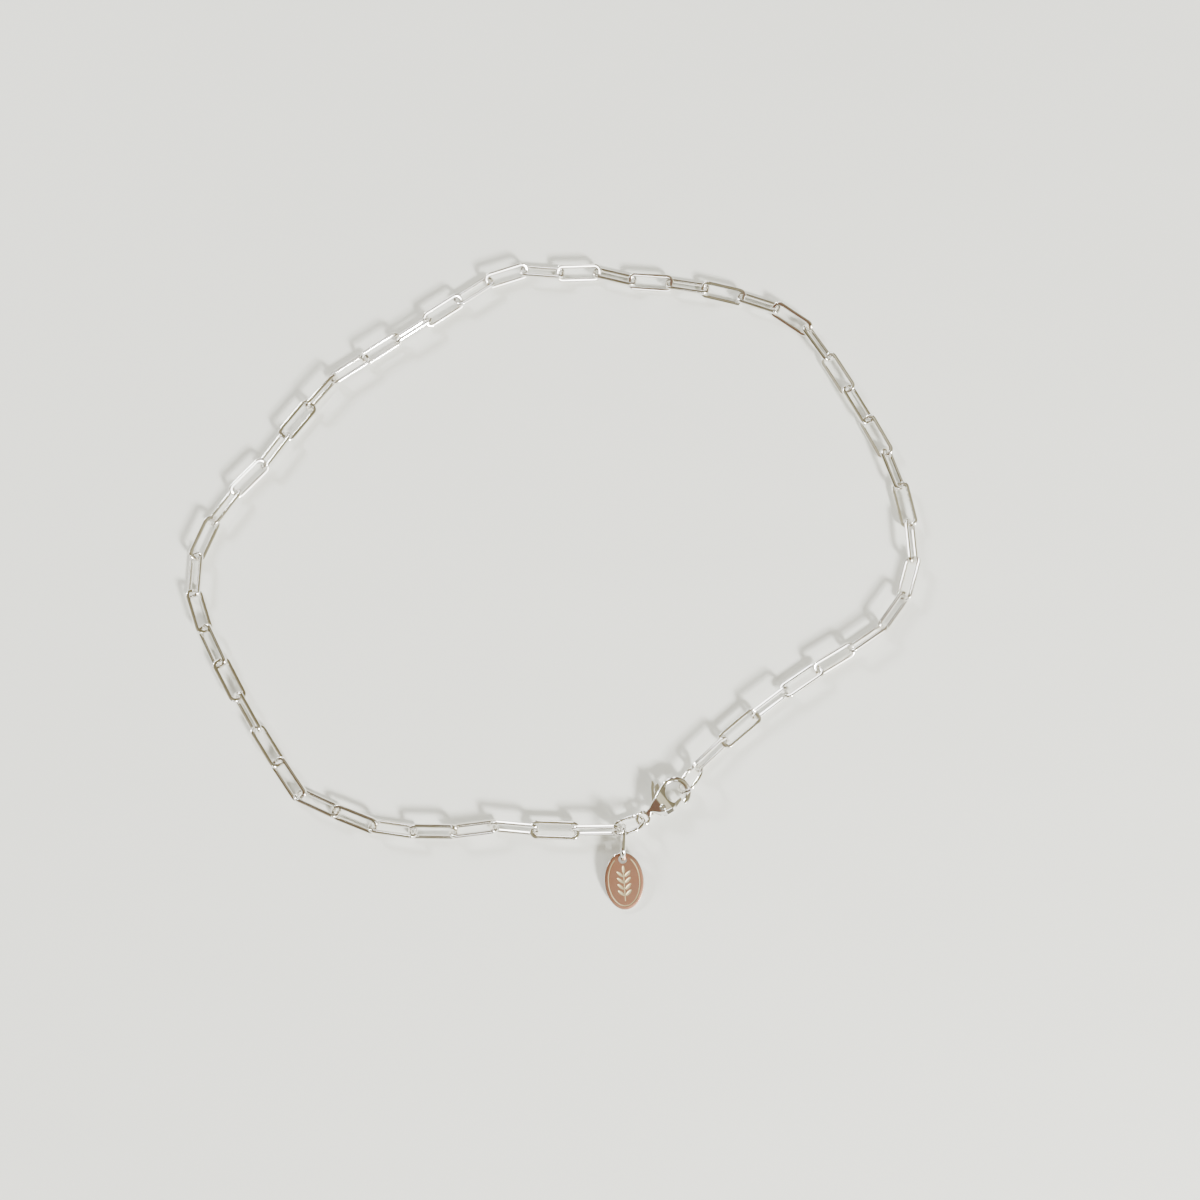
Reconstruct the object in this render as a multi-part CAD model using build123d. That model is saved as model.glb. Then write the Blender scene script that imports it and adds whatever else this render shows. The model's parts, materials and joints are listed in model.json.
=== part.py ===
from build123d import *
import math
import os
from collections import namedtuple

# Chain anklet of long rectangular links, closed by a lobster clasp, lying on a table.
# Millimetres, Z up. The origin is on the table, under the middle of the whole anklet.

# Chain
PITCH = 4.75            # from one joint of the chain to the next
WIRE = 0.45             # side of the links' square wire
WIRE_EDGE = 0.08        # chamfer along the wire's four edges
LINK_WIDTH = 2.20       # outside width of a link
CORNER = 0.62           # corner radius of a link, to the wire's centre
SLACK = 0.22            # play between two links at their joint
DROP = 0.08             # how far a link hangs below a neighbour that carries it
LINK_LENGTH = PITCH + SLACK + 2 * WIRE

# Oval jump rings of round wire
RING_WIRE = 0.46        # wire diameter
RING_ROUND = 1.40       # radius of the round ends, to the wire's centre
RING_STRAIGHT = 0.90    # length of the straight sides

# Clasp, measured along its length from the tail ring's centre, the gate on its -Y side
TAIL_RADIUS = 0.72      # tail ring, to its wire's centre
TAIL_WIRE = 0.42
HOOK_CENTRE = 4.85      # middle of the hook's round opening
HOOK_OUTSIDE = 1.92     # radius of the hook outside
HOOK_INSIDE = 1.20      # radius of the hook's opening
HOOK_THICK = 1.05
HOOK_EDGE = 0.26        # rounding of the hook's section
NOSE_ANGLE = 88         # where the hook's nose ends, turned from the far end
HOOK_ROOT = 150         # how far round the spine side the hook runs into the cheeks
CHEEK_ANGLE = 128       # where the cheeks end, across the gate from the nose
SLOT = 0.84             # gap between the cheeks
SLOT_START = 1.34
SLOT_END = 4.14
PIVOT = (2.55, -0.45)
PIN_RADIUS = 0.26
PIN_LENGTH = 2.00
PIN_FIT = 0.01          # pin in the cheeks
LEVER_FIT = 0.05        # pin in the lever
LEVER_THICK = 0.72
LEVER_EDGE = 0.10
BOSS_RADIUS = 0.62
GATE_FOOT = [(2.90, 0.00), (2.55, -1.05)]       # gate's outline where it leaves the boss
GATE_OUT = (3.90, -1.42)                        # its outer and inner edge halfway
GATE_IN = (3.70, -0.75)
GATE_WIDTH = 0.34       # gate's width at its tip
GATE_TUCK = 5           # how far round inside the nose the gate's tip reaches
GATE_GAP = 0.05         # between the gate's tip and the nose
FIN = [(2.00, -0.20), (1.95, 0.80), (3.40, 2.95), (3.95, 2.10), (3.50, 0.80), (3.00, -0.20)]

# The clasp's neck and cheeks, cross-section by cross-section
Section = namedtuple("Section", "along gate_side spine_side thick")
CHEEKS = [
    Section(0.78, -0.34, 0.34, 0.50),
    Section(1.25, -0.48, 0.50, 1.00),
    Section(2.10, -1.36, 0.86, 2.10),
    Section(3.20, -1.66, 1.36, 2.30),
    Section(4.30, -1.72, 1.80, 1.60),
]
CHEEK_ROUND = 0.32      # corner radius of a section, as a share of its smaller side
CLASP_THICK = max(section.thick for section in CHEEKS)

# Tag, its length along X, the hole at its +X end
TAG_LENGTH = 6.70
TAG_WIDTH = 4.60
TAG_THICK = 0.40
TAG_EDGE = 0.10
TAG_HOLE = 0.50         # radius
TAG_HOLE_IN = 0.80      # hole's centre in from the tag's end
GROOVE_WIDTH = 0.12
GROOVE_DEPTH = 0.06
BORDER_IN = 0.42        # engraved border line, in from the tag's edge
STEM_LENGTH = 3.30      # engraved sprig, along the tag
STEM_START = -2.35
LEAF_PAIRS = 4
LEAF_STEP = 0.73        # from one pair of leaves to the next
LEAF_START = 0.59       # first pair, along the stem
LEAF_LENGTH = 0.95
LEAF_WIDTH = 0.34
LEAF_SPREAD = 48        # angle of the leaves to the stem
LEAF_OUT = 0.59         # from the stem to a side leaf's middle
LEAF_END = 0.38         # from the stem's end to the end leaf's middle

# Where the pieces lie, before the whole anklet is moved over the origin
Pose = namedtuple("Pose", "x y z heading roll")
CLASP_REST = 1.19       # height of the clasp's middle, lying on its side
CLASP_POSE = Pose(10.38, -34.19, CLASP_REST, 38, 0)
TAIL_RING_POSE = Pose(8.66, -34.99, 1.37, 20, -54)
HOOK_RING_POSE = Pose(15.99, -29.63, 1.43, 54.5, -58.8)
TAG_RING_POSE = Pose(8.07, -36.96, 1.80, 88.5, 88.5)
TAG_TILT = 12           # the tag's hole end is carried on its ring
TAG_X, TAG_Y = 8.16, -41.35
TAG_HEADING = 94

# The chain's two ends, at its joints with the rings
CHAIN_START = Vector(7.19, -35.52)
CHAIN_FINISH = Vector(16.70, -28.40)

# The chain's course, walked from the tail ring round to the hook ring. Each stretch has so many
# links, the first one's heading, the turn from each link to the next, and the links' rolls.
Stretch = namedtuple("Stretch", "links heading curl rolls")
COURSE = [
    Stretch(3, 181, -3.0, (-65, 5, -60)),
    Stretch(3, 187, -7.5, (45, -45)),
    Stretch(2, 159, -3.0, (-35, 45)),
    Stretch(5, 126, -2.0, (-25, 45, -55, 25, -35)),
    Stretch(3, 110, -20.5, (40, -35, 45)),
    Stretch(2, 56, -8.0, (-35, 40)),
    Stretch(3, 56, -2.5, (-35, 30, 90)),
    Stretch(5, 35, 0.0, (-25, 60, -50, 40, -25)),
    Stretch(2, 19, -23.0, (45, -30)),
    Stretch(2, 2, -16.0, (35, -30)),
    Stretch(4, -4, -5.0, (30, -30)),
    Stretch(2, -36, -21.0, (40, -45)),
    Stretch(3, -60, -1.5, (30, -30)),
    Stretch(3, -71, -8.0, (-40, 25, -50)),
    Stretch(3, -107, -19.5, (45, -50, 65)),
    Stretch(5, -149, 3.0, (-35, 25, -60, 0, -60)),
]


def placed(shape, pose):
    """The shape rolled about its own length, turned to its heading and moved to its place."""
    turn = Rot(0, 0, pose.heading) * Rot(pose.roll, 0, 0)
    return Pos(pose.x, pose.y, pose.z) * turn * shape


def link():
    """One link lying flat, its length along X, its middle at the origin."""
    outside = RectangleRounded(LINK_LENGTH, LINK_WIDTH, CORNER + WIRE / 2)
    inside = RectangleRounded(LINK_LENGTH - 2 * WIRE, LINK_WIDTH - 2 * WIRE, CORNER - WIRE / 2)
    bar = extrude(outside - inside, WIRE / 2, both=True)
    return chamfer(bar.faces().filter_by(Axis.Z).edges(), WIRE_EDGE)


def rest_height(roll):
    """Height of a rolled link's middle when its lower bar lies on the table."""
    lean = math.radians(abs(roll))
    half_width = (LINK_WIDTH - WIRE) / 2
    return half_width * math.sin(lean) + WIRE / 2 * (math.sin(lean) + math.cos(lean))


def link_heights(rolls):
    """Height of each link's middle: on the table, or carried near a steeper neighbour's."""
    heights = [rest_height(roll) for roll in rolls]
    last = len(heights) - 1
    for place in range(1, last + 1):
        heights[place] = max(heights[place], heights[place - 1] - DROP)
    for place in range(last - 1, -1, -1):
        heights[place] = max(heights[place], heights[place + 1] - DROP)
    return heights


def link_poses():
    """Pose of every link, with the small closing error of the walk shared out evenly."""
    headings = []
    rolls = []
    for stretch in COURSE:
        for step in range(stretch.links):
            headings.append(stretch.heading + stretch.curl * step)
            rolls.append(stretch.rolls[step % len(stretch.rolls)])
    joints = [CHAIN_START]
    for heading in headings:
        joints.append(joints[-1] + Vector(PITCH, 0).rotate(Axis.Z, heading))
    error = CHAIN_FINISH - joints[-1]
    heights = link_heights(rolls)
    poses = []
    for number, (heading, roll) in enumerate(zip(headings, rolls)):
        middle = (joints[number] + joints[number + 1]) / 2
        middle += error * ((number + 0.5) / len(headings))
        poses.append(Pose(middle.X, middle.Y, heights[number], heading, roll))
    return poses, error


def link_chain():
    """All the links as one compound of loose solids."""
    one = link()
    poses, error = link_poses()
    print("links", len(poses), "closing error", round(error.length, 3))
    return Compound(children=[placed(one, pose).solid() for pose in poses])


def jump_ring(pose):
    """An oval ring in its place: two round ends and two short sides along its heading."""
    reach = RING_STRAIGHT / 2
    path = Wire([
        CenterArc((reach, 0), RING_ROUND, -90, 180),
        Line((reach, RING_ROUND), (-reach, RING_ROUND)),
        CenterArc((-reach, 0), RING_ROUND, 90, 180),
        Line((-reach, -RING_ROUND), (reach, -RING_ROUND)),
    ])
    section = Plane(origin=path @ 0, z_dir=path % 0) * Circle(RING_WIRE / 2)
    return placed(sweep(section, path), pose)


def on_hook(radius, angle):
    """A point round the hook's opening, the angle turned from the clasp's far end to the gate."""
    turn = math.radians(angle)
    return (HOOK_CENTRE + radius * math.cos(turn), -radius * math.sin(turn))


def cheeks():
    """Neck and cheeks as one bulging solid through their cross-sections, still whole."""
    faces = []
    for section in CHEEKS:
        width = section.spine_side - section.gate_side
        middle = (section.spine_side + section.gate_side) / 2
        face = RectangleRounded(width, section.thick, CHEEK_ROUND * min(width, section.thick))
        across = Plane(origin=(section.along, middle, 0), x_dir=(0, 1, 0), z_dir=(1, 0, 0))
        faces.append(across * face)
    return loft(faces)


def hook():
    """The hook as a bar of rounded section turned round its opening, from nose to spine."""
    width = HOOK_OUTSIDE - HOOK_INSIDE
    bar = RectangleRounded(width, HOOK_THICK, HOOK_EDGE)
    start = Plane.XZ * Pos(HOOK_INSIDE + width / 2, 0) * bar
    turned = revolve(Rot(0, 0, -NOSE_ANGLE) * start, Axis.Z, NOSE_ANGLE + HOOK_ROOT)
    return Pos(HOOK_CENTRE, 0) * turned


def clasp_body():
    """Tail ring, neck, slotted cheeks and hook in one, in the clasp's own place."""
    middle = (HOOK_CENTRE, 0)
    gap = make_face(Polyline(
        middle,
        on_hook(2 * HOOK_OUTSIDE, NOSE_ANGLE - 40),
        on_hook(2 * HOOK_OUTSIDE, CHEEK_ANGLE),
        middle,
    ))
    body = cheeks()
    body -= extrude(gap, CLASP_THICK, both=True)
    body += hook()
    body -= Pos(*middle) * Cylinder(HOOK_INSIDE, CLASP_THICK)
    body += Torus(TAIL_RADIUS, TAIL_WIRE / 2)
    body -= Cylinder(TAIL_RADIUS - TAIL_WIRE / 2, CLASP_THICK)
    slot_length = SLOT_END - SLOT_START
    body -= Pos(SLOT_START + slot_length / 2, 0) * Box(slot_length, 3 * HOOK_OUTSIDE, SLOT)
    body -= Pos(*PIVOT) * Cylinder(PIN_RADIUS + PIN_FIT, CLASP_THICK)
    return body


def clasp_pin():
    """The pivot pin, its ends a little below the cheeks' surface."""
    return Pos(*PIVOT) * Cylinder(PIN_RADIUS, PIN_LENGTH)


def clasp_lever():
    """Gate, boss and thumb fin cut from one plate, closed."""
    tip_out = on_hook(HOOK_INSIDE - GATE_GAP, NOSE_ANGLE - GATE_TUCK)
    tip_in = (tip_out[0], tip_out[1] + GATE_WIDTH)
    gate = make_face(Polyline(*GATE_FOOT, GATE_OUT, tip_out, tip_in, GATE_IN, close=True))
    fin = make_face(Polyline(*FIN, close=True))
    plan = gate + fin + Pos(*PIVOT) * Circle(BOSS_RADIUS)
    lever = extrude(plan, LEVER_THICK / 2, both=True)
    lever = chamfer(lever.faces().filter_by(Axis.Z).edges(), LEVER_EDGE)
    return lever - Pos(*PIVOT) * Cylinder(PIN_RADIUS + LEVER_FIT, CLASP_THICK)


def leaf(along, out, spread):
    """One leaf's outline, its middle out from its foot on the stem at the given spread."""
    outline = Ellipse(LEAF_LENGTH / 2, LEAF_WIDTH / 2)
    return Pos(along, 0) * Rot(0, 0, spread) * Pos(out, 0) * outline


def sprig():
    """The leafy sprig's outline: a stem, pairs of side leaves and an end leaf."""
    outline = Pos(STEM_START + STEM_LENGTH / 2, 0) * Rectangle(STEM_LENGTH, GROOVE_WIDTH)
    for pair in range(LEAF_PAIRS):
        foot = STEM_START + LEAF_START + LEAF_STEP * pair
        outline += leaf(foot, LEAF_OUT, LEAF_SPREAD)
        outline += leaf(foot, LEAF_OUT, -LEAF_SPREAD)
    return outline + leaf(STEM_START + STEM_LENGTH, LEAF_END, 0)


def border():
    """The border line's outline, left off round the hole."""
    half_length = TAG_LENGTH / 2 - BORDER_IN
    half_width = TAG_WIDTH / 2 - BORDER_IN
    inside = Ellipse(half_length - GROOVE_WIDTH, half_width - GROOVE_WIDTH)
    around_hole = Pos(TAG_LENGTH / 2 - TAG_HOLE_IN, 0) * Circle(TAG_HOLE + BORDER_IN)
    return Ellipse(half_length, half_width) - inside - around_hole


def tag():
    """Oval tag with a hole, a border line and a leafy sprig, lying flat."""
    blank = extrude(Ellipse(TAG_LENGTH / 2, TAG_WIDTH / 2), TAG_THICK / 2, both=True)
    blank = chamfer(blank.faces().filter_by(Axis.Z).edges(), TAG_EDGE)
    blank -= Pos(TAG_LENGTH / 2 - TAG_HOLE_IN, 0) * Cylinder(TAG_HOLE, TAG_THICK)
    grooves = Pos(0, 0, TAG_THICK / 2 - GROOVE_DEPTH) * (border() + sprig())
    return blank - extrude(grooves, 2 * GROOVE_DEPTH)


def tag_in_place():
    """The tag with its far end on the table and its hole end raised on the tag ring."""
    tilt = math.radians(TAG_TILT)
    height = TAG_LENGTH / 2 * math.sin(tilt) + TAG_THICK / 2 * math.cos(tilt)
    return Pos(TAG_X, TAG_Y, height) * Rot(0, 0, TAG_HEADING) * Rot(0, -TAG_TILT, 0) * tag()


def shift_over_origin(pieces):
    """The move that sets the middle of the pieces' common box over the origin, on the table."""
    solids = [solid for piece in pieces for solid in piece.solids()]
    box = Compound(children=solids).bounding_box()
    middle = box.center()
    print("whole anklet", box.size)
    return Vector(-middle.X, -middle.Y, -box.min.Z)


pieces = {
    "link_chain": link_chain(),
    "jump_ring_tail": jump_ring(TAIL_RING_POSE),
    "jump_ring_hook": jump_ring(HOOK_RING_POSE),
    "tag_ring": jump_ring(TAG_RING_POSE),
    "tag": tag_in_place(),
    "clasp_body": placed(clasp_body(), CLASP_POSE),
    "clasp_pin": placed(clasp_pin(), CLASP_POSE),
    "clasp_lever": placed(clasp_lever(), CLASP_POSE),
}
shift = shift_over_origin(pieces.values())
pivot = Pos(shift) * placed(Pos(*PIVOT) * Vertex(0, 0, 0), CLASP_POSE)
print("lever pivot", pivot.center())

os.makedirs("parts", exist_ok=True)
for name, piece in pieces.items():
    piece.move(Pos(shift))
    export_step(piece, f"parts/{name}.step")
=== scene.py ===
import json
import logging
import math
from dataclasses import dataclass
from enum import Enum
from typing import Callable, Iterable, Optional

import bmesh
import bpy
import numpy as np
from bmesh.types import BMEdge, BMFace
from bpy.types import Material, Node, NodeSocket, Object, World
from mathutils import Euler, Matrix, Vector


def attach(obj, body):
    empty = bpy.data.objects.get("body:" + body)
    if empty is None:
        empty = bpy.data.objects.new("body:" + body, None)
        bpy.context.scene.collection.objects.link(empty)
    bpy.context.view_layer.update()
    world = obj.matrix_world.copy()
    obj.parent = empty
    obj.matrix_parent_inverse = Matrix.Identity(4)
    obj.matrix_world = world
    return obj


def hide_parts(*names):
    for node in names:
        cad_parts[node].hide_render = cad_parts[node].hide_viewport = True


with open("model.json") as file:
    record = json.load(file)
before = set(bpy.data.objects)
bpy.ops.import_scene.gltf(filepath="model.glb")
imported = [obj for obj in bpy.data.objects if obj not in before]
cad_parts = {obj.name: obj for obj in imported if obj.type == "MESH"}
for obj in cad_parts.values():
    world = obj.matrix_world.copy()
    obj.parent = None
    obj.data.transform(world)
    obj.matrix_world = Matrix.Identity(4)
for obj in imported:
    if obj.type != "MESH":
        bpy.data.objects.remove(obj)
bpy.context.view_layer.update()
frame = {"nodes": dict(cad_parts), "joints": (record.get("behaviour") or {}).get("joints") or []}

# The chain anklet, modelled in millimetres about the origin, then set in place in metres
MM = 0.001
log = logging.getLogger("anklet")

Triple = tuple[float, float, float]

SHARP = math.radians(50)  # edges that turn by more than this are rounded
FACING = 0.9              # a face whose normal points this much one way faces that way
APART = 0.1               # ends of an edge that are further apart than this differ, in mm
HAIR = 0.0001             # a distance that counts as nothing, in mm
SEAM_M = 0.000001         # corners of a CAD solid that are closer than this are one, in metres

# A Mix node's colour sockets go by number, because its sockets share their names
MIX_SHARE = 0
MIX_FIRST = 6
MIX_SECOND = 7
MIX_COLOR = 2


class Body(Enum):
    """The bodies that the pieces ride on."""

    ANKLET = "anklet"
    LEVER = "lever"


class Slot(Enum):
    """Names of the material slots, one for each finish."""

    LINKS = "silver_links"
    FINDINGS = "silver_findings"
    TAG = "rose_tag"


class Pick(Enum):
    """What a selection in edit mode is made of."""

    VERTS = "VERT"
    EDGES = "EDGE"
    FACES = "FACE"


# ---------------------------------------------------------------- modelling moves


def only(piece: Object) -> None:
    """Selects one piece alone and makes it active.

    Args:
        piece: The piece to select.
    """
    bpy.ops.object.select_all(action="DESELECT")
    piece.select_set(True)
    bpy.context.view_layer.objects.active = piece


def start_edit(piece: Object, pick: Pick) -> None:
    """Enters edit mode on one piece with nothing selected.

    Args:
        piece: The piece to edit.
        pick: What is selected next.
    """
    only(piece)
    bpy.ops.object.mode_set(mode="EDIT")
    bpy.ops.mesh.select_mode(type=pick.value)
    bpy.ops.mesh.select_all(action="DESELECT")


def end_edit() -> None:
    """Returns to object mode."""
    bpy.ops.object.mode_set(mode="OBJECT")


def choose(piece: Object, pick: Pick, test: Callable[..., bool]) -> None:
    """Selects only the verts, edges or faces that pass a test, in edit mode.

    Args:
        piece: The piece in edit mode.
        pick: Which kind of element is tested.
        test: Called with each element, True to select it.
    """
    form = bmesh.from_edit_mesh(piece.data)
    bpy.ops.mesh.select_all(action="DESELECT")
    items = {Pick.VERTS: form.verts, Pick.EDGES: form.edges, Pick.FACES: form.faces}[pick]
    for item in [item for item in items if test(item)]:
        item.select_set(True)
    form.select_flush_mode()
    bmesh.update_edit_mesh(piece.data)


def choose_all() -> None:
    """Selects everything, in edit mode."""
    bpy.ops.mesh.select_all(action="SELECT")


def is_upright(edge: BMEdge) -> bool:
    """Whether an edge runs from one level up to another."""
    return abs(edge.verts[0].co.z - edge.verts[1].co.z) > APART


def is_level(face: BMFace) -> bool:
    """Whether a face looks straight up or down."""
    return abs(face.normal.z) > FACING


def apply_scale(piece: Object) -> None:
    """Takes a piece's place, turn and scale into its mesh."""
    only(piece)
    bpy.ops.object.transform_apply(location=True, rotation=True, scale=True)


def block(size: Iterable[float], at: Iterable[float] = (0, 0, 0), turn: float = 0.0) -> Object:
    """A plain block to start a piece from.

    Args:
        size: Its length, width and height.
        at: Its middle.
        turn: Degrees that it is turned about Z.

    Returns:
        The block.
    """
    bpy.ops.mesh.primitive_cube_add(size=1, location=at, rotation=(0, 0, math.radians(turn)))
    piece = bpy.context.object
    piece.scale = size
    apply_scale(piece)
    return piece


def rod(radius: float, length: float, at: Iterable[float] = (0, 0, 0), sides: int = 64) -> Object:
    """A plain upright rod to start a piece from, or to cut a hole with.

    Args:
        radius: Its radius.
        length: Its length along Z.
        at: Its middle.
        sides: Its number of sides.

    Returns:
        The rod.
    """
    bpy.ops.mesh.primitive_cylinder_add(vertices=sides, radius=radius, depth=length, location=at)
    piece = bpy.context.object
    apply_scale(piece)
    return piece


def finish_modifier(piece: Object, kind: str, **settings: object) -> None:
    """Adds a modifier, sets it and applies it.

    Args:
        piece: The piece that gets it.
        kind: The modifier's type.
        settings: Its properties.
    """
    only(piece)
    modifier = piece.modifiers.new(kind.lower(), kind)
    for name, value in settings.items():
        setattr(modifier, name, value)
    bpy.ops.object.modifier_apply(modifier=modifier.name)


def round_edges(piece: Object, width: float, steps: int) -> None:
    """Rounds a piece's sharp edges to a width, in a number of facets."""
    finish_modifier(
        piece, "BEVEL", width=width, segments=steps, limit_method="ANGLE", angle_limit=SHARP
    )


def merge(piece: Object, other: Object) -> None:
    """Welds another solid to a piece and uses it up."""
    finish_modifier(piece, "BOOLEAN", operation="UNION", object=other, solver="EXACT")
    bpy.data.objects.remove(other)


def cut(piece: Object, cutter: Object, keep_finish: bool = False) -> None:
    """Cuts a solid out of a piece.

    Args:
        piece: The piece that is cut.
        cutter: The solid that is used up.
        keep_finish: True to give the cut faces the cutter's own material.
    """
    mode = "TRANSFER" if keep_finish else "INDEX"
    finish_modifier(
        piece, "BOOLEAN", operation="DIFFERENCE", object=cutter, solver="EXACT", material_mode=mode
    )
    bpy.data.objects.remove(cutter)


def twin(piece: Object, place: Matrix) -> Object:
    """A copy of a piece with its own mesh, set in another place.

    Args:
        piece: The piece to copy.
        place: Where the copy goes.

    Returns:
        The copy.
    """
    copy = piece.copy()
    copy.data = piece.data.copy()
    bpy.context.scene.collection.objects.link(copy)
    copy.matrix_world = place
    return copy


def join(pieces: list[Object]) -> Object:
    """Joins several pieces into the first of them.

    Args:
        pieces: The pieces to join.

    Returns:
        The joined piece.
    """
    bpy.ops.object.select_all(action="DESELECT")
    for piece in pieces:
        piece.select_set(True)
    bpy.context.view_layer.objects.active = pieces[0]
    bpy.ops.object.join()
    return bpy.context.object


def smooth(piece: Object, degrees: float = 40.0) -> None:
    """Shades a piece smooth, apart from edges that turn by more than some degrees."""
    only(piece)
    bpy.ops.object.shade_smooth_by_angle(angle=math.radians(degrees))


def fuse(piece: Object, grain: float) -> None:
    """Makes one skin round a piece's overlapping forms, with faces of one size."""
    finish_modifier(piece, "REMESH", mode="VOXEL", voxel_size=grain, adaptivity=0.0)


def soften_cast(piece: Object, grain: float, rounds: int) -> None:
    """Turns a piece into one softly rounded casting.

    Args:
        piece: The piece to soften.
        grain: The size of its faces.
        rounds: How often its surface is smoothed.
    """
    fuse(piece, grain)
    finish_modifier(piece, "SMOOTH", factor=0.5, iterations=rounds)
    only(piece)
    bpy.ops.object.shade_smooth()


def loft(sections: Iterable[tuple]) -> Object:
    """Models a bar along X, drawn out from section to section.

    Args:
        sections: Place along X, lowest Y, highest Y and thickness of each.

    Returns:
        The bar.
    """
    rows = list(sections)
    bar = block((rows[1][0] - rows[0][0], 1, 1), ((rows[0][0] + rows[1][0]) / 2, 0.5, 0))
    start_edit(bar, Pick.FACES)
    for number, (along, low, high, thick) in enumerate(rows):
        if number > 1:
            step = along - rows[number - 1][0]
            bpy.ops.mesh.extrude_region_move(TRANSFORM_OT_translate={"value": (step, 0, 0)})
        else:
            side = 1 if number else -1
            choose(bar, Pick.FACES, lambda face: face.normal.x * side > FACING)
        verts = [vert for vert in bmesh.from_edit_mesh(bar.data).verts if vert.select]
        lowest = min(vert.co.y for vert in verts)
        highest = max(vert.co.y for vert in verts)
        height = max(vert.co.z for vert in verts) * 2
        size = (1, (high - low) / (highest - lowest), thick / height)
        bpy.ops.transform.resize(value=size, center_override=(along, lowest, 0))
        bpy.ops.transform.translate(value=(0, low - lowest, 0))
    end_edit()
    return bar


def set_down(piece: Object, name: str, place: Optional[Matrix] = None) -> Object:
    """Moves a finished piece to its place, in metres, with its object at the origin.

    Args:
        piece: The piece, in millimetres.
        name: Its name.
        place: Where it goes, in millimetres, if it isn't there already.

    Returns:
        The piece.
    """
    piece.name = name
    piece.data.name = name
    piece.matrix_world = Matrix.Scale(MM, 4) @ (place or Matrix.Identity(4)) @ piece.matrix_world
    apply_scale(piece)
    return piece


# ---------------------------------------------------------------- places read from the frame


@dataclass(frozen=True)
class Lie:
    """How a solid lies: its middle, the direction it is longest in and the one it is thinnest in."""

    middle: Vector
    long: Vector
    thin: Vector

    @classmethod
    def of(cls, mesh: bpy.types.Mesh) -> "Lie":
        """Works out how a closed mesh lies, weighing each face by its area.

        Args:
            mesh: The mesh, in metres.

        Returns:
            Its lie, in millimetres.
        """
        points = np.array([vert.co for vert in mesh.vertices]) / MM
        faces = [(face.area, np.array(face.center) / MM) for face in mesh.polygons]
        weights = np.array([area for area, _ in faces])
        centers = np.array([center for _, center in faces])
        middle = np.average(centers, axis=0, weights=weights)
        spread = np.cov((centers - middle).T, aweights=weights)
        axes = np.linalg.eigh(spread)[1].T[::-1]
        for axis in axes:
            along = points @ axis
            middle += axis * ((along.min() + along.max()) / 2 - middle @ axis)
        return cls(Vector(middle), Vector(axes[0]), Vector(axes[-1]))

    def towards(self, ahead: Vector) -> Matrix:
        """The move that lays a piece here, its X along the long way and its Z up.

        Args:
            ahead: A direction that the piece's X end is turned to.

        Returns:
            The move.
        """
        x = self.long if self.long.dot(ahead) >= 0 else -self.long
        z = self.thin if self.thin.z >= 0 else -self.thin
        y = z.cross(x)
        turn = Matrix((x, y, z)).transposed().to_4x4()
        return Matrix.Translation(self.middle) @ turn


def shells(node: str) -> list[Lie]:
    """How each loose solid of a CAD node lies.

    Args:
        node: The node's name.

    Returns:
        One lie for each solid.
    """
    copy = twin(frame["nodes"][node], Matrix.Identity(4))
    copy.parent = None
    copy.hide_viewport = False
    copy.hide_set(False)
    start_edit(copy, Pick.VERTS)
    choose_all()
    bpy.ops.mesh.remove_doubles(threshold=SEAM_M)
    bpy.ops.mesh.separate(type="LOOSE")
    end_edit()
    loose = list(bpy.context.selected_objects)
    lies = [Lie.of(piece.data) for piece in loose]
    for piece in loose:
        bpy.data.objects.remove(piece)
    return lies


# ---------------------------------------------------------------- finishes
# Depths of scratches and grain are in metres, and roughness runs from 0, a mirror, to 1


@dataclass(frozen=True)
class Grain:
    """A noise that varies a finish: its waves per metre, its finer layers and its stretch."""

    scale: float
    detail: float = 2.0
    stretch: Triple = (1, 1, 1)


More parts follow.
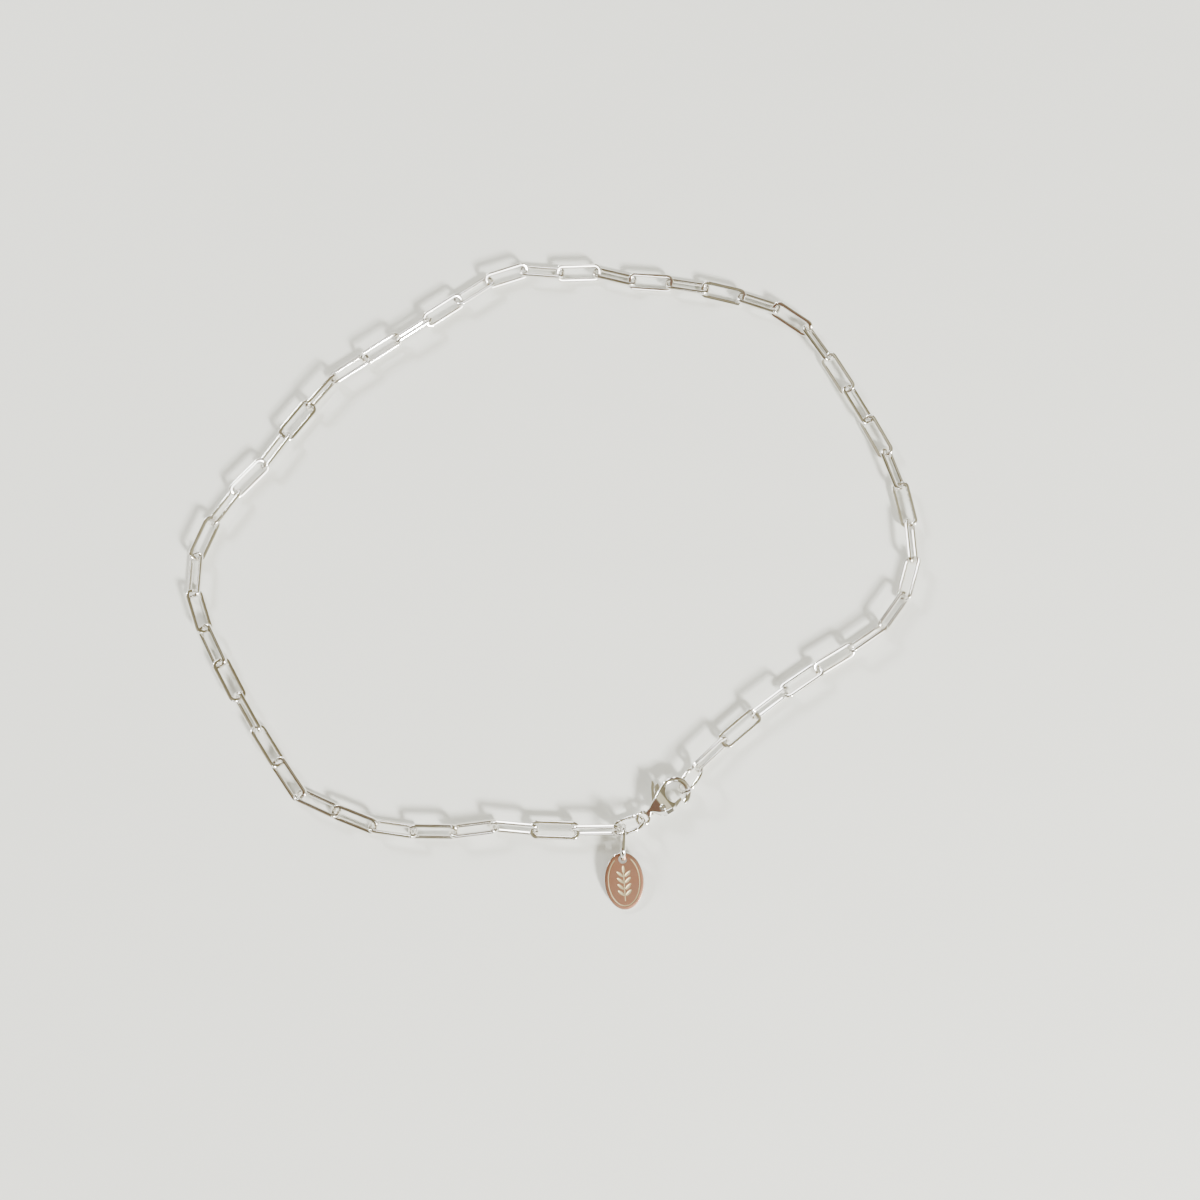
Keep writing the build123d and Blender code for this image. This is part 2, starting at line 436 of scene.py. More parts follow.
class Graph:
    """The nodes of a material or a world, added and wired one by one."""

    def __init__(self, owner: Material | World, shader: str = "Principled BSDF") -> None:
        """Starts from the one shader that a new material or world has.

        Args:
            owner: The material or world.
            shader: The shader's name.
        """
        owner.use_nodes = True
        self.tree = owner.node_tree
        self.shader = self.tree.nodes[shader]

    def add(self, kind: str, sockets: Optional[dict] = None, **settings: object) -> Node:
        """Adds a node.

        Args:
            kind: The node's type, without its prefix.
            sockets: Values or other nodes' outputs for its inputs.
            settings: Its properties.

        Returns:
            The node.
        """
        node = self.tree.nodes.new("ShaderNode" + kind)
        for name, value in settings.items():
            setattr(node, name, value)
        for name, value in (sockets or {}).items():
            self.wire(node, name, value)
        return node

    def wire(self, node: Node, name: str | int, value: object) -> None:
        """Sets or links one input of a node.

        Args:
            node: The node.
            name: The input's name or number.
            value: A value, or the output that feeds it.
        """
        if isinstance(value, NodeSocket):
            self.tree.links.new(value, node.inputs[name])
        else:
            node.inputs[name].default_value = value

    def shade(self, sockets: dict) -> None:
        """Sets or links the shader's own inputs, by name."""
        for name, value in sockets.items():
            self.wire(self.shader, name, value)

    def noise(self, grain: Grain) -> NodeSocket:
        """A noise over the piece's own coordinates.

        Args:
            grain: How coarse it is.

        Returns:
            The noise's output, about 0 to 1.
        """
        place = self.add("TexCoord").outputs["Object"]
        place = self.add("Mapping", {"Vector": place, "Scale": grain.stretch}).outputs["Vector"]
        sockets = {"Vector": place, "Scale": grain.scale, "Detail": grain.detail}
        return self.add("TexNoise", sockets).outputs["Fac"]

    def between(
        self, share: NodeSocket, low: float, high: float,
        start: float = 0.3, end: float = 0.7, ramp: str = "LINEAR",
    ) -> NodeSocket:
        """A number that goes from low to high as a share goes from start to end."""
        sockets = {"Value": share, "From Min": start, "From Max": end, "To Min": low, "To Max": high}
        return self.add("MapRange", sockets, interpolation_type=ramp).outputs["Result"]

    def blend(self, share: NodeSocket, first: Triple | NodeSocket, second: Triple) -> NodeSocket:
        """A colour between two others.

        Args:
            share: The output that drives it.
            first: The colour at 0, or the output that gives it.
            second: The colour at 1.

        Returns:
            The colour's output.
        """
        mix = self.add("Mix", data_type="RGBA")
        self.wire(mix, MIX_SHARE, share)
        self.wire(mix, MIX_FIRST, first if isinstance(first, NodeSocket) else (*first, 1))
        self.wire(mix, MIX_SECOND, (*second, 1))
        return mix.outputs[MIX_COLOR]

    def bump(
        self, height: NodeSocket, depth: float, strength: float = 1.0,
        under: Optional[NodeSocket] = None,
    ) -> NodeSocket:
        """A bump from a height.

        Args:
            height: The output that gives the height, 0 to 1.
            depth: Its depth in metres.
            strength: How much of it shows.
            under: Another bump that it lies on.

        Returns:
            The normal's output.
        """
        node = self.add("Bump", {"Height": height, "Distance": depth, "Strength": strength})
        if under is not None:
            self.wire(node, "Normal", under)
        return node.outputs["Normal"]


@dataclass(frozen=True)
class PolishedSilver:
    """Bright polished silver with fine handling scratches and a trace of warm tarnish."""

    name: str
    bright: Triple = (0.93, 0.92, 0.90)
    warm: Triple = (0.86, 0.83, 0.76)
    tarnish: Grain = Grain(520, 3)
    least_tarnish: float = 0.42
    most_tarnish: float = 0.68
    handling: Grain = Grain(2600, 4)
    least_rough: float = 0.03
    most_rough: float = 0.09
    scratches: Grain = Grain(9000, 3, (1.0, 0.16, 0.4))
    scratch_depth: float = 0.000002
    scratch_strength: float = 0.5
    waves: Grain = Grain(700, 1)
    wave_depth: float = 0.000005

    def material(self) -> Material:
        """Makes the material.

        Returns:
            The material.
        """
        metal = bpy.data.materials.new(self.name)
        graph = Graph(metal)
        tarnish = graph.noise(self.tarnish)
        share = graph.between(tarnish, 0, 1, self.least_tarnish, self.most_tarnish)
        handling = graph.noise(self.handling)
        waves = graph.bump(graph.noise(self.waves), self.wave_depth)
        scratches = graph.noise(self.scratches)
        graph.shade({
            "Metallic": 1.0,
            "Base Color": graph.blend(share, self.bright, self.warm),
            "Roughness": graph.between(handling, self.least_rough, self.most_rough),
            "Normal": graph.bump(scratches, self.scratch_depth, self.scratch_strength, waves),
        })
        return metal


@dataclass(frozen=True)
class PaintedRoseReflection:
    """Painted reflection: a satin rose colour standing in for the warm reflection on the tag's
    polished silver, finely grained, a little paler where it is rubbed.
    """

    name: str = "rose_painted_reflection"
    deep: Triple = (0.262, 0.132, 0.081)
    rubbed: Triple = (0.32, 0.172, 0.112)
    rubbing: Grain = Grain(420, 4)
    least_rubbed: float = 0.38
    most_rubbed: float = 0.66
    deep_rough: float = 0.44
    rubbed_rough: float = 0.34
    grain: Grain = Grain(14000, 2, (1.0, 0.2, 1.0))
    grain_depth: float = 0.000003
    grain_strength: float = 0.6

    def material(self) -> Material:
        """Makes the material.

        Returns:
            The material.
        """
        painted_reflection = bpy.data.materials.new(self.name)
        graph = Graph(painted_reflection)
        rubbing = graph.noise(self.rubbing)
        share = graph.between(rubbing, 0, 1, self.least_rubbed, self.most_rubbed)
        # the rose base colour is a painted reflection of something warm in the tag's silver face
        graph.shade({
            "Metallic": 1.0,
            "Base Color": graph.blend(share, self.deep, self.rubbed),
            "Roughness": graph.between(rubbing, self.deep_rough, self.rubbed_rough),
            "Normal": graph.bump(graph.noise(self.grain), self.grain_depth, self.grain_strength),
        })
        return painted_reflection


@dataclass(frozen=True)
class EngravedCream:
    """The bare, frosted metal at the bottom of the engraved lines."""

    name: str = "engraved_cream"
    light: Triple = (0.58, 0.50, 0.31)
    dark: Triple = (0.46, 0.39, 0.22)
    metallic: float = 0.7
    least_rough: float = 0.42
    most_rough: float = 0.6
    frost: Grain = Grain(9000, 3)
    frost_depth: float = 0.000004
    frost_strength: float = 0.6

    def material(self) -> Material:
        """Makes the material.

        Returns:
            The material.
        """
        metal = bpy.data.materials.new(self.name)
        graph = Graph(metal)
        frost = graph.noise(self.frost)
        graph.shade({
            "Metallic": self.metallic,
            "Base Color": graph.blend(frost, self.dark, self.light),
            "Roughness": graph.between(frost, self.least_rough, self.most_rough),
            "Normal": graph.bump(frost, self.frost_depth, self.frost_strength),
        })
        return metal


@dataclass(frozen=True)
class PaleTable:
    """The plain pale table, matt, with a barely uneven paint."""

    name: str = "pale_table"
    light: Triple = (0.83, 0.84, 0.79)
    dark: Triple = (0.80, 0.812, 0.76)
    shine: float = 0.3
    least_rough: float = 0.5
    most_rough: float = 0.62
    paint: Grain = Grain(90, 4, (0.35, 1.0, 1.0))
    paint_depth: float = 0.00006
    paint_strength: float = 0.5

    def material(self) -> Material:
        """Makes the material.

        Returns:
            The material.
        """
        top = bpy.data.materials.new(self.name)
        graph = Graph(top)
        paint = graph.noise(self.paint)
        graph.shade({
            "Specular IOR Level": self.shine,
            "Base Color": graph.blend(paint, self.dark, self.light),
            "Roughness": graph.between(paint, self.least_rough, self.most_rough),
            "Normal": graph.bump(paint, self.paint_depth, self.paint_strength),
        })
        return top


def dress(piece: Object, body: Body, slot: Slot, nodes: Iterable[str], *materials: Material) -> None:
    """Gives a finished piece its materials and its body, and hides the CAD nodes it stands for.

    Args:
        piece: The piece, in its place.
        body: The body that it rides on.
        slot: Not used.
        nodes: The CAD nodes that it replaces.
        materials: The materials to put on, if it has none yet.
    """
    for material in materials:
        piece.data.materials.append(material)
    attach(piece, body.value)
    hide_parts(*nodes)
    triangles = sum(len(face.vertices) - 2 for face in piece.data.polygons)
    log.info("%s: %d triangles", piece.name, triangles)


# ---------------------------------------------------------------- sub-assemblies
# Sizes are in millimetres and angles in degrees, and steps and sides count facets


@dataclass
class Chain:
    """The chain of long rectangular links."""

    length: float = 5.87
    width: float = 2.20
    wire: float = 0.48
    corner: float = 0.845
    corner_steps: int = 8
    edge: float = 0.16
    edge_steps: int = 4

    def link(self) -> Object:
        """Models one link, lying flat about the origin.

        Returns:
            The link, in millimetres.
        """
        link = block((self.length, self.width, self.wire))
        start_edit(link, Pick.EDGES)
        choose(link, Pick.EDGES, is_upright)
        bpy.ops.mesh.bevel(offset=self.corner, segments=self.corner_steps, affect="EDGES")
        bpy.ops.mesh.select_mode(type=Pick.FACES.value)
        choose(link, Pick.FACES, is_level)
        bpy.ops.mesh.inset(thickness=self.wire, depth=0)
        # only what the inset left in the middle has more than four corners
        choose(link, Pick.FACES, lambda face: is_level(face) and len(face.verts) > 4)
        bpy.ops.mesh.bridge_edge_loops()
        end_edit()
        round_edges(link, self.edge, self.edge_steps)
        return link

    def build(self, silver: Material) -> None:
        """Models every link in its place and joins them.

        Args:
            silver: The links' material.
        """
        link = self.link()
        links = [twin(link, lie.towards(Vector((1, 0, 0)))) for lie in shells("link_chain")]
        bpy.data.objects.remove(link)
        chain = join(links)
        apply_scale(chain)
        smooth(chain)
        finish_modifier(chain, "WEIGHTED_NORMAL", keep_sharp=True)
        set_down(chain, "link_chain_finished")
        dress(chain, Body.ANKLET, Slot.LINKS, ["link_chain"], silver)


@dataclass
class OvalRing:
    """An oval jump ring of round wire, its two ends meeting at a fine seam."""

    node: str
    wire: float = 0.50
    end_radius: float = 1.40
    straight: float = 0.90
    seam: float = 0.03
    seam_at: float = 0.20
    steps: int = 64
    wire_sides: int = 20

    def build(self, silver: Material) -> None:
        """Models the ring in its place.

        Args:
            silver: The ring's material.
        """
        bpy.ops.mesh.primitive_torus_add(
            major_radius=self.end_radius, minor_radius=self.wire / 2,
            major_segments=self.steps, minor_segments=self.wire_sides,
        )
        ring = bpy.context.object
        start_edit(ring, Pick.VERTS)
        for side in (1, -1):
            choose(ring, Pick.VERTS, lambda vert: vert.co.x * side > HAIR)
            bpy.ops.transform.translate(value=(side * self.straight / 2, 0, 0))
        end_edit()
        saw = (self.seam, self.wire * 2, self.wire * 2)
        cut(ring, block(saw, (self.seam_at, -self.end_radius, 0)))
        smooth(ring)
        set_down(ring, self.node + "_finished", shells(self.node)[0].towards(Vector((1, 0, 0))))
        dress(ring, Body.ANKLET, Slot.FINDINGS, [self.node], silver)


RINGS = (OvalRing("jump_ring_tail"), OvalRing("jump_ring_hook"), OvalRing("tag_ring", wire=0.60))


@dataclass
class Tag:
    """The small oval tag: rose face and back, a painted reflection on silver, silver rim, engraved
    sprig and border.
    """

    length: float = 6.70
    width: float = 4.60
    thick: float = 0.40
    sides: int = 128
    rim: float = 0.10
    rim_steps: int = 4
    flat: float = 0.98  # the face takes the rose painted reflection where its normal points up this much
    crease: float = 35.0  # edges that turn by more than this stay crisp
    hole: float = 0.50
    hole_in: float = 0.80
    punch: float = 1.0  # length of the cutters that go right through
    border_in: float = 0.42
    groove_width: float = 0.12
    groove_depth: float = 0.06
    stem_start: float = -2.35
    stem_length: float = 3.30
    leaf_pairs: int = 4
    leaf_start: float = 0.59
    leaf_step: float = 0.73
    leaf_length: float = 0.95
    leaf_width: float = 0.34
    leaf_spread: float = 48.0
    leaf_out: float = 0.59
    leaf_end: float = 0.38
    leaf_sides: int = 24

    def blank(self) -> Object:
        """Models the plain oval with its rounded rim.

        Returns:
            The blank.
        """
        blank = rod(0.5, self.thick, sides=self.sides)
        blank.scale = (self.length, self.width, 1)
        apply_scale(blank)
        round_edges(blank, self.rim, self.rim_steps)
        return blank

    def ring_groove(self) -> Object:
        """Models the cutter of the border line, open round the hole.

        Returns:
            The cutter.
        """
        half_length = self.length / 2 - self.border_in
        half_width = self.width / 2 - self.border_in
        top = self.thick / 2
        cutter = rod(1, 2 * self.groove_depth, (0, 0, top), sides=self.sides)
        cutter.scale = (half_length, half_width, 1)
        apply_scale(cutter)
        core = rod(1, self.punch, (0, 0, top), sides=self.sides)
        core.scale = (half_length - self.groove_width, half_width - self.groove_width, 1)
        apply_scale(core)
        cut(cutter, core)
        by_hole = (self.length / 2 - self.hole_in, 0, top)
        cut(cutter, rod(self.hole + self.border_in, self.punch, by_hole))
        return cutter

    def leaf(self, along: float, out: float, spread: float) -> Object:
        """Models the cutter of one leaf.

        Args:
            along: Its foot along the tag.
            out: How far its middle is from its foot.
            spread: Its angle to the stem, in degrees.

        Returns:
            The cutter.
        """
        turn = math.radians(spread)
        at = (along + out * math.cos(turn), out * math.sin(turn), self.thick / 2)
        bpy.ops.mesh.primitive_uv_sphere_add(
            segments=self.leaf_sides, ring_count=self.leaf_sides // 2, radius=1
        )
        cutter = bpy.context.object
        cutter.scale = (self.leaf_length / 2, self.leaf_width / 2, self.groove_depth)
        cutter.rotation_euler = Euler((0, 0, turn))
        cutter.location = at
        apply_scale(cutter)
        return cutter

    def cutters(self) -> list[Object]:
        """Models all the engraver's cutters.

        Returns:
            The cutters.
        """
        middle = self.stem_start + self.stem_length / 2
        stem_size = (self.stem_length, self.groove_width, 2 * self.groove_depth)
        tools = [self.ring_groove(), block(stem_size, (middle, 0, self.thick / 2))]
        for pair in range(self.leaf_pairs):
            foot = self.stem_start + self.leaf_start + self.leaf_step * pair
            for spread in (self.leaf_spread, -self.leaf_spread):
                tools.append(self.leaf(foot, self.leaf_out, spread))
        tools.append(self.leaf(self.stem_start + self.stem_length, self.leaf_end, 0))
        return tools

    def build(self, rose: Material, silver: Material, cream: Material) -> None:
        """Models the tag in its place.

        Args:
            rose: The painted rose reflection of its face and back.
            silver: The material of its rim.
            cream: The material of its engraved lines.
        """
        tag = self.blank()
        for material in (silver, rose, cream):
            tag.data.materials.append(material)
        # the flat faces take the rose painted reflection, the rim the silver
        for face in tag.data.polygons:
            face.material_index = 1 if abs(face.normal.z) > self.flat else 0
        hole = rod(self.hole, self.punch, (self.length / 2 - self.hole_in, 0, 0))
        hole.data.materials.append(silver)
        cut(tag, hole, keep_finish=True)
        for tool in self.cutters():
            tool.data.materials.clear()
            tool.data.materials.append(cream)
            cut(tag, tool, keep_finish=True)
        smooth(tag, self.crease)
        ring = shells("tag_ring")[0]
        lie = shells("tag")[0]
        set_down(tag, "tag_finished", lie.towards(ring.middle - lie.middle))
        dress(tag, Body.ANKLET, Slot.TAG, ["tag"])


@dataclass
class Clasp:
    """The lobster clasp: cast body, sprung lever and pivot pin.

    It is modelled about its tail ring's middle, its length along X and its gate on the -Y side.
    """

    heading: float = 38.0
    tail_radius: float = 0.72
    tail_wire: float = 0.42
    tail_steps: int = 48
    tail_sides: int = 20

    # The hook, its angles from the length axis
    hook_centre: float = 4.85
    hook_outside: float = 1.92
    hook_inside: float = 1.20
    hook_thick: float = 1.05
    hook_edge: float = 0.33
    hook_edge_steps: int = 4
    hook_steps: int = 60
    hook_weld: float = 0.0005
    nose_angle: float = 88.0
    hook_root: float = 150.0

    # The cheeks: along, gate side, spine side, thickness
    sections: tuple = (
        (0.78, -0.34, 0.34, 0.50),
        (1.25, -0.50, 0.52, 1.06),
        (1.90, -1.20, 0.80, 1.80),
        (2.55, -1.56, 1.06, 2.30),
        (3.40, -1.70, 1.44, 2.04),
        (4.30, -1.74, 1.82, 1.50),
    )
    facets_start: float = 1.0
    gate_facet: float = 0.52
    gate_facet_steps: int = 1
    spine_facet: float = 0.20
    spine_facet_steps: int = 3
    cheek_angle: float = 128.0
    slot: float = 0.84
    slot_start: float = 1.34
    slot_end: float = 4.14
    body_grain: float = 0.045
    body_rounds: int = 5

    # The cutters of the cheeks, larger than what they cut
    mouth_cut: float = 2.0
    slot_cut: float = 6.0
    deep_cut: float = 4.0

    # The pivot pin and its holes
    pivot: tuple = (2.55, -0.45)
    pin_radius: float = 0.26
    pin_length: float = 2.27
    pin_sides: int = 40
    pin_dome: float = 0.06
    pin_dome_steps: int = 4
    body_fit: float = 0.02
    lever_fit: float = 0.05

    # The lever: along, gate side, spine side, share of its thickness
    gate: tuple = (
        (2.55, -1.00, -0.10, 1),
        (3.20, -1.20, -0.40, 1),
        (3.90, -1.40, -0.82, 1),
    )
    gate_tip: tuple = (-1.13, -0.80, 0.86)
    tip_angle: float = 83.0
    tip_gap: float = 0.05
    fin: tuple = (
        (1.98, -0.20, 0.80, 1),
        (2.60, -0.20, 1.72, 1),
        (3.05, -0.10, 2.36, 1),
        (3.50, 0.85, 2.85, 1),
        (3.90, 1.90, 2.20, 1),
    )
    lever_thick: float = 0.72
    boss_radius: float = 0.62
    boss_sides: int = 48
    lever_cut: float = 2.0
    lever_grain: float = 0.03
    lever_rounds: int = 8

    # The fluted faces and the notched end of the thumb fin
    fin_angle: float = 58.0
    flute_at: tuple = (3.62, 2.20)
    flute_length: float = 3.2
    flute_side: float = 0.30
    notch_at: tuple = (3.76, 2.48)
    notch_length: float = 0.8
    notch_width: float = 0.20

    def place(self) -> Matrix:
        """The move that lays the clasp where its hinge is in the frame.

        Returns:
            The move, in millimetres.
        """
        hinge = Vector(frame["joints"][0]["pos_m"]) / MM
        turn = Matrix.Rotation(math.radians(self.heading), 4, "Z")
        from_pivot = Matrix.Translation((-self.pivot[0], -self.pivot[1], 0))
        return Matrix.Translation(hinge) @ turn @ from_pivot

    def runs_along(self, edge: BMEdge, side: int) -> bool:
        """Tells the long edges of the cheeks that get a facet.

        Args:
            edge: The edge.
            side: -1 for the gate side, 1 for the spine side.

        Returns:
            Whether the edge runs along that side.
        """
        start, end = (vert.co for vert in edge.verts)
        along = abs(start.x - end.x) > APART and min(start.x, end.x) > self.facets_start
        return along and start.y * side > 0 and end.y * side > 0

    def hook(self) -> Object:
        """Models the hook by spinning its section about the opening.

        Returns:
            The hook.
        """
        width = self.hook_outside - self.hook_inside
        start = math.radians(-self.nose_angle)
        bpy.ops.mesh.primitive_plane_add(size=1)
        bar = bpy.context.object
        bar.scale = (width, self.hook_thick, 1)
        bar.rotation_euler = Euler((math.radians(90), 0, 0))
        apply_scale(bar)
        start_edit(bar, Pick.VERTS)
        choose_all()
        bpy.ops.mesh.bevel(offset=self.hook_edge, segments=self.hook_edge_steps, affect="VERTICES")
        end_edit()
        bar.location = (self.hook_inside + width / 2, 0, 0)
        apply_scale(bar)
        bar.rotation_euler = Euler((0, 0, start))
        bar.location = (self.hook_centre, 0, 0)
        apply_scale(bar)
        start_edit(bar, Pick.FACES)
        choose_all()
        bpy.ops.mesh.spin(
            steps=self.hook_steps, angle=-math.radians(self.nose_angle + self.hook_root),
            center=(self.hook_centre, 0, 0), axis=(0, 0, 1),
        )
        choose_all()
        bpy.ops.mesh.remove_doubles(threshold=self.hook_weld)
        bpy.ops.mesh.normals_make_consistent(inside=False)
        end_edit()
        return bar

    def cheeks(self) -> Object:
        """Models the cheeks, faceted, and cut back for the gate and the opening.

        Returns:
            The cheeks, as one solid with no slot yet.
        """
        cheeks = loft(self.sections)
        rows = (
            (-1, self.gate_facet, self.gate_facet_steps),
            (1, self.spine_facet, self.spine_facet_steps),
        )
        for side, facet, steps in rows:
            start_edit(cheeks, Pick.EDGES)
            choose(cheeks, Pick.EDGES, lambda edge: self.runs_along(edge, side))
            bpy.ops.mesh.bevel(offset=facet, segments=steps, affect="EDGES")
            end_edit()
        middle = Vector((self.hook_centre, 0, 0))
        ray = math.radians(-self.cheek_angle)
        beside = Vector((-math.sin(ray), math.cos(ray), 0))
        along = Vector((math.cos(ray), math.sin(ray), 0))
        reach = 2 * self.hook_outside
        at = middle + along * reach / 2 + beside * self.mouth_cut / 2
        cut(cheeks, block((reach, self.mouth_cut, self.deep_cut), at, -self.cheek_angle))
        cut(cheeks, rod(self.hook_inside, self.deep_cut, middle))
        return cheeks

    def body(self) -> Object:
        """Models the cast body: cheeks, tail ring and hook fused, then slotted and drilled.

        Returns:
            The body, in millimetres.
        """
        cheeks = self.cheeks()
        bpy.ops.mesh.primitive_torus_add(
            major_radius=self.tail_radius, minor_radius=self.tail_wire / 2,
            major_segments=self.tail_steps, minor_segments=self.tail_sides,
        )
        body = join([cheeks, bpy.context.object, self.hook()])
        fuse(body, self.body_grain)
        length = self.slot_end - self.slot_start
        slot_size = (length, self.slot_cut, self.slot)
        cut(body, block(slot_size, (self.slot_start + length / 2, 0, 0)))
        cut(body, rod(self.pin_radius + self.body_fit, self.deep_cut, (*self.pivot, 0)))
        soften_cast(body, self.body_grain, self.body_rounds)
        return body

    def lever_bar(self, rows: Iterable[tuple]) -> Object:
        """Models one arm of the lever from rows like those of the gate and the fin."""
        return loft(
            (along, low, high, share * self.lever_thick) for along, low, high, share in rows
        )

    def flute(self, side: int) -> Object:
        """Models the cutter of the groove along one face of the thumb fin.

        Args:
            side: 1 for the upper face, -1 for the lower one.

        Returns:
            The cutter, a square bar on its edge.
        """
        flute = block((self.flute_length, self.flute_side, self.flute_side))
        flute.rotation_euler = Euler((math.radians(45), 0, 0))
        apply_scale(flute)
        flute.rotation_euler = Euler((0, 0, math.radians(self.fin_angle)))
        flute.location = (*self.flute_at, side * self.lever_thick / 2)
        apply_scale(flute)
        return flute

    def lever(self) -> Object:
        """Models the lever: gate, boss and thumb fin.

        Returns:
            The lever, in millimetres.
        """
        nose_reach = (self.hook_inside - self.tip_gap) * math.cos(math.radians(self.tip_angle))
        lever = self.lever_bar((*self.gate, (self.hook_centre + nose_reach, *self.gate_tip)))
        pivot = (*self.pivot, 0)
        merge(lever, rod(self.boss_radius, self.lever_thick, pivot, sides=self.boss_sides))
        merge(lever, self.lever_bar(self.fin))
        cut(lever, rod(self.pin_radius + self.lever_fit, self.lever_cut, pivot))
        for side in (1, -1):
            cut(lever, self.flute(side))
        notch = (self.notch_length, self.notch_width, self.lever_cut)
        cut(lever, block(notch, (*self.notch_at, 0), self.fin_angle))
        soften_cast(lever, self.lever_grain, self.lever_rounds)
        return lever

    def pin(self) -> Object:
        """Models the pivot pin with its domed ends.

        Returns:
            The pin, in millimetres.
        """
        pin = rod(self.pin_radius, self.pin_length, (*self.pivot, 0), sides=self.pin_sides)
        round_edges(pin, self.pin_dome, self.pin_dome_steps)
        smooth(pin)
        return pin

    def build(self, silver: Material) -> None:
        """Models the clasp's three pieces in their place.

        Args:
            silver: Their material.
        """
        rows = (
            (self.body, "clasp_body", Body.ANKLET),
            (self.pin, "clasp_pin", Body.ANKLET),
            (self.lever, "clasp_lever", Body.LEVER),
        )
        for make, node, rides in rows:
            piece = set_down(make(), node + "_finished", self.place())
            dress(piece, rides, Slot.FINDINGS, [node], silver)


# ---------------------------------------------------------------- table, light and camera


@dataclass(frozen=True)
class Patch:
    """A soft round patch of the room's light: where it is, how wide, and its colour."""

    towards: Triple
    inside: float
    outside: float
    color: Triple


@dataclass(frozen=True)
class Lamp:
    """A soft square lamp: its name, its place in metres, its power in watts and its tint."""

    name: str
    at: Triple
    power: float
    tint: Triple


# The room round the table. Each patch lies over the ones before it: its direction from the table,
# how many degrees about it are all its colour, where it has faded out, and the colour
WALL_FOOT = (0.34, 0.31, 0.23)
ROOM = (
    # the dark middle of the walls, the ceiling, and its pale spot
    Patch((0, 0, 1), 60, 80, (0.08, 0.062, 0.034)),
    Patch((0, 0, 1), 26, 56, (0.42, 0.375, 0.235)),
    Patch((0.29, 0.245, 0.925), 5, 13, (1.05, 0.97, 0.70)),
    # the paler and duller walls, and the dark gap in the near one
    Patch((0.95, -0.25, 0.25), 16, 32, (0.56, 0.51, 0.34)),
    Patch((0.62, 0.62, 0.45), 14, 32, (0.28, 0.24, 0.14)),
    Patch((-0.93, -0.25, 0.28), 12, 28, (0.19, 0.16, 0.086)),
    Patch((-0.61, -0.10, 0.79), 8, 18, (0.78, 0.73, 0.55)),
    Patch((-0.18, -0.98, 0.05), 10, 18, (0.62, 0.58, 0.46)),
    Patch((0.05, -1.00, 0.05), 3, 7, (0.10, 0.06, 0.06)),
    # the two windows on the right and the far one
    Patch((0.68, -0.64, 0.50), 6, 13, (10.0, 10.0, 9.7)),
    Patch((0.36, -0.80, 0.47), 4, 9, (9.0, 9.0, 8.7)),
    Patch((-0.33, 0.80, 0.50), 6, 12, (9.5, 9.6, 9.8)),
    # the dark doorway beyond the table, with two bright panes
    Patch((-0.01, 0.84, 0.54), 11, 16, (0.10, 0.06, 0.055)),
    Patch((-0.01, 0.79, 0.61), 2.5, 5.5, (15.0, 15.0, 15.0)),
    Patch((0.0, 0.88, 0.47), 2.5, 5.5, (15.0, 15.0, 15.0)),
    # the near skylight and its dark frame, the left window, and the brown beams overhead
    Patch((0.0, -0.68, 0.73), 4, 8, (13.0, 13.0, 12.7)),
    Patch((-0.03, -0.54, 0.84), 3, 6, (0.22, 0.10, 0.09)),
    Patch((-0.89, 0.19, 0.44), 4, 10, (8.0, 8.0, 8.0)),
    Patch((-0.57, -0.46, 0.72), 11, 22, (0.26, 0.155, 0.105)),
    Patch((0.02, 0.52, 1), 6, 14, (0.12, 0.055, 0.05)),
)

LAMPS = (
    Lamp("window_right", (0.435, -0.557, 0.42), 18.6, (1.0, 0.995, 0.97)),
    Lamp("window_far", (-0.52, 0.485, 0.42), 6.0, (0.98, 0.995, 1.0)),
)


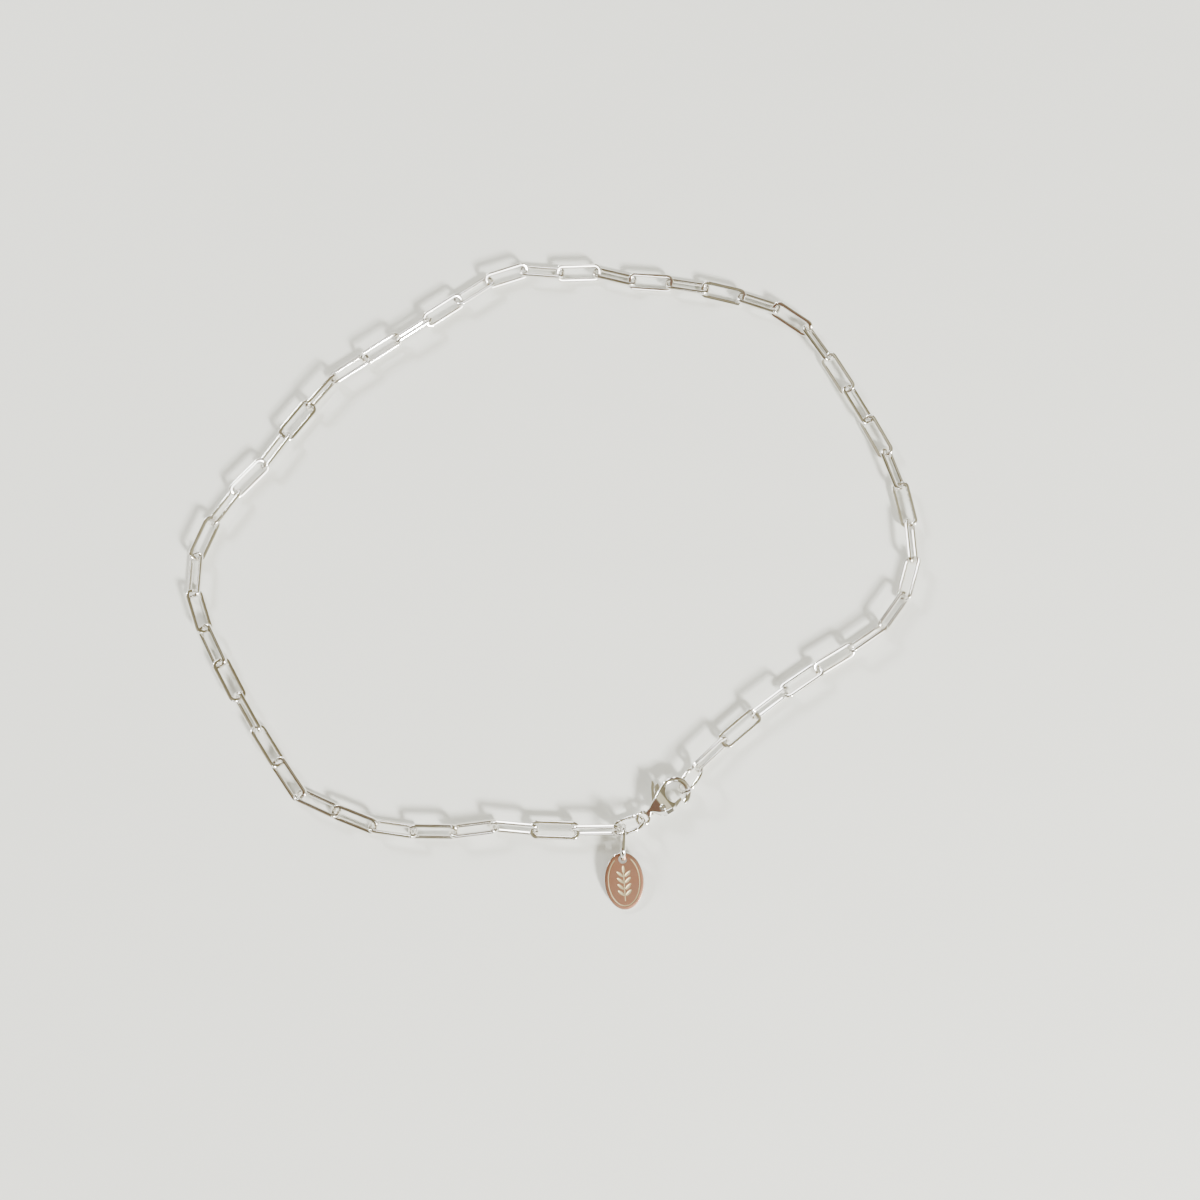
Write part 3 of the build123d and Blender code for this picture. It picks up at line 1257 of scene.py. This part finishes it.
@dataclass
class Studio:
    """The pale table, the soft light round it and the camera over it.

    Places and sizes are in metres, the tilt in degrees, the lens and its sensor in millimetres.
    """

    table: float = 8.0
    lamp_side: float = 0.14
    tilt: float = 12.37
    lens: float = 37.5
    sensor: float = 36.0
    nearest: float = 0.005
    farthest: float = 20.0
    camera_at: Triple = (0.00567, -0.03667, 0.1500)

    def add_table(self) -> None:
        """Lays the table under the anklet."""
        bpy.ops.object.select_all(action="DESELECT")
        bpy.ops.mesh.primitive_plane_add(size=self.table)
        table = bpy.context.object
        table.name = "table"
        table.data.materials.append(PaleTable().material())

    def add_lamp(self, lamp: Lamp) -> None:
        """Hangs one lamp, turned to the anklet.

        Args:
            lamp: Its place, power and tint.
        """
        light = bpy.data.lights.new(lamp.name, "AREA")
        light.size = self.lamp_side
        light.energy = lamp.power
        light.color = lamp.tint
        hung = bpy.data.objects.new(lamp.name, light)
        hung.location = lamp.at
        hung.rotation_euler = (-Vector(lamp.at)).to_track_quat("-Z", "Y").to_euler()
        bpy.context.scene.collection.objects.link(hung)

    def add_world(self) -> None:
        """Surrounds the table with a soft room: khaki walls and ceiling, and pale windows."""
        world = bpy.data.worlds.new("room")
        bpy.context.scene.world = world
        graph = Graph(world, "Background")
        around = graph.add("TexCoord").outputs["Generated"]
        color = WALL_FOOT
        for patch in ROOM:
            towards = Vector(patch.towards).normalized()
            near = graph.add("VectorMath", {0: around, 1: towards}, operation="DOT_PRODUCT")
            outside = math.cos(math.radians(patch.outside))
            inside = math.cos(math.radians(patch.inside))
            share = graph.between(near.outputs["Value"], 0, 1, outside, inside, "SMOOTHSTEP")
            color = graph.blend(share, color, patch.color)
        graph.shade({"Color": color, "Strength": 1.0})

    def add_camera(self) -> None:
        """Sets the camera over the anklet, leaning towards its far side."""
        lens = bpy.data.cameras.new("camera")
        lens.lens = self.lens
        lens.sensor_width = self.sensor
        lens.clip_start = self.nearest
        lens.clip_end = self.farthest
        camera = bpy.data.objects.new("camera", lens)
        camera.location = self.camera_at
        camera.rotation_euler = Euler((math.radians(self.tilt), 0, 0))
        bpy.context.scene.collection.objects.link(camera)
        bpy.context.scene.camera = camera

    def build(self) -> None:
        """Sets up the whole studio."""
        self.add_table()
        self.add_world()
        for lamp in LAMPS:
            self.add_lamp(lamp)
        self.add_camera()


def main() -> None:
    """Builds the anklet's pieces in order, then the studio."""
    logging.basicConfig(level=logging.INFO, format="%(message)s")
    links_silver = PolishedSilver("links_silver").material()
    findings_silver = PolishedSilver("findings_silver", most_rough=0.08).material()
    Chain().build(links_silver)
    for ring in RINGS:
        ring.build(findings_silver)
    # the tag's rose face is a painted reflection on its silver
    Tag().build(PaintedRoseReflection().material(), findings_silver, EngravedCream().material())
    Clasp().build(findings_silver)
    Studio().build()


if __name__ == "__main__":
    main()
